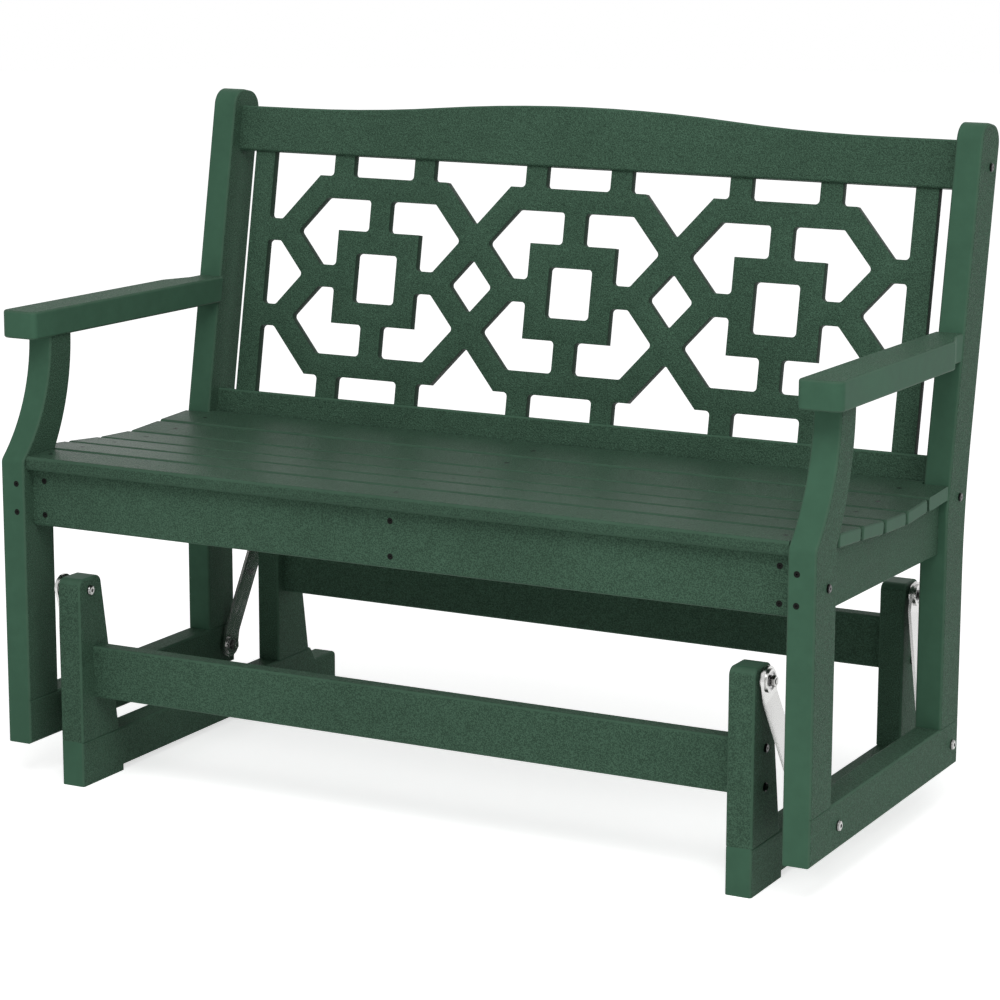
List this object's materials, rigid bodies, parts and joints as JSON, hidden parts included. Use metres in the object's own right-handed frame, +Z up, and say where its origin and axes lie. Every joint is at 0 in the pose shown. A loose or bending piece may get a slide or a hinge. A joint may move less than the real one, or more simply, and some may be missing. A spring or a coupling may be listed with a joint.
{
  "type": "glider bench",
  "caption": "Garden glider bench with a fretwork back, slatted seat and armrests, hung on swinging links from a low base with runners.",
  "frame": {"origin": "middle of the footprint, on the floor", "axes": "+X across the bench to the right seen from its front, +Y from front to back, +Z up"},
  "size_m": [1.2528, 0.7052, 0.9355],
  "materials": {
    "board_green": "pebbled faces, smooth cut edges",
    "dark_screws": "dark coated",
    "bright_steel": "stainless",
    "link_steel": "stainless, satin",
    "bearing_steel": "ground",
    "dowel_plastic": "plain"
  },
  "bodies": {
    "base": {"base_lag_screws": "bright_steel", "base_runner_left": "board_green", "base_runner_right": "board_green", "base_upright_front_left": "board_green", "base_upright_front_right": "board_green", "base_upright_rear_left": "board_green", "base_upright_rear_right": "board_green", "front_stretcher": "board_green", "rear_stretcher": "board_green", "stretcher_screws": "bright_steel", "upper_pivot_bolts": "bright_steel", "upper_pivot_nuts": "bright_steel", "upper_pivot_washers": "bright_steel"},
    "link_front_right": {"bearings_front_right": "bearing_steel", "link_strap_front_right": "link_steel"},
    "link_front_left": {"bearings_front_left": "bearing_steel", "link_strap_front_left": "link_steel"},
    "link_rear_right": {"bearings_rear_right": "bearing_steel", "link_strap_rear_right": "link_steel"},
    "link_rear_left": {"bearings_rear_left": "bearing_steel", "link_strap_rear_left": "link_steel"},
    "seat": {"armrest_left": "board_green", "armrest_right": "board_green", "crest_rail": "board_green", "dowels": "dowel_plastic", "frame_screws": "dark_screws", "front_apron": "board_green", "front_leg_left": "board_green", "front_leg_right": "board_green", "lattice_panel": "board_green", "low_back_rail": "board_green", "lower_pivot_bolts": "bright_steel", "lower_pivot_nuts": "bright_steel", "lower_pivot_washers": "bright_steel", "rear_apron": "board_green", "rear_post_left": "board_green", "rear_post_right": "board_green", "seat_lag_screws": "bright_steel", "seat_runner_left": "board_green", "seat_runner_right": "board_green", "seat_slat_fifth": "board_green", "seat_slat_fourth": "board_green", "seat_slat_front": "board_green", "seat_slat_rear": "board_green", "seat_slat_second": "board_green", "seat_slat_third": "board_green", "seat_support_left": "board_green", "seat_support_middle": "board_green", "seat_support_right": "board_green", "side_rail_left": "board_green", "side_rail_right": "board_green", "side_screws": "bright_steel", "slat_screws": "dark_screws"}
  },
  "joints": [
    {"name": "swing", "type": "hinge", "parent": "base", "child": "link_front_right", "pos_m": [0.535, -0.31605, 0.28], "axis": [1, 0, 0], "range_deg": [-12, 12]},
    {"name": "seat_on_link", "type": "hinge", "parent": "link_front_right", "child": "seat", "pos_m": [0.565, -0.25945, 0.0862], "axis": [1, 0, 0], "range_deg": [-15, 15]},
    {"name": "swing_front_left", "type": "hinge", "parent": "base", "child": "link_front_left", "pos_m": [-0.535, -0.31605, 0.28], "axis": [1, 0, 0], "range_deg": [-12, 12]},
    {"name": "swing_rear_right", "type": "hinge", "parent": "base", "child": "link_rear_right", "pos_m": [0.535, 0.20585, 0.28], "axis": [1, 0, 0], "range_deg": [-12, 12]},
    {"name": "swing_rear_left", "type": "hinge", "parent": "base", "child": "link_rear_left", "pos_m": [-0.535, 0.20585, 0.28], "axis": [1, 0, 0], "range_deg": [-12, 12]}
  ],
  "couplings": [
    {"joint": "seat_on_link", "follows": "swing", "ratio": -1.2474},
    {"joint": "swing_front_left", "follows": "swing", "ratio": 1},
    {"joint": "swing_rear_right", "follows": "swing", "ratio": 1},
    {"joint": "swing_rear_left", "follows": "swing", "ratio": 1}
  ]
}
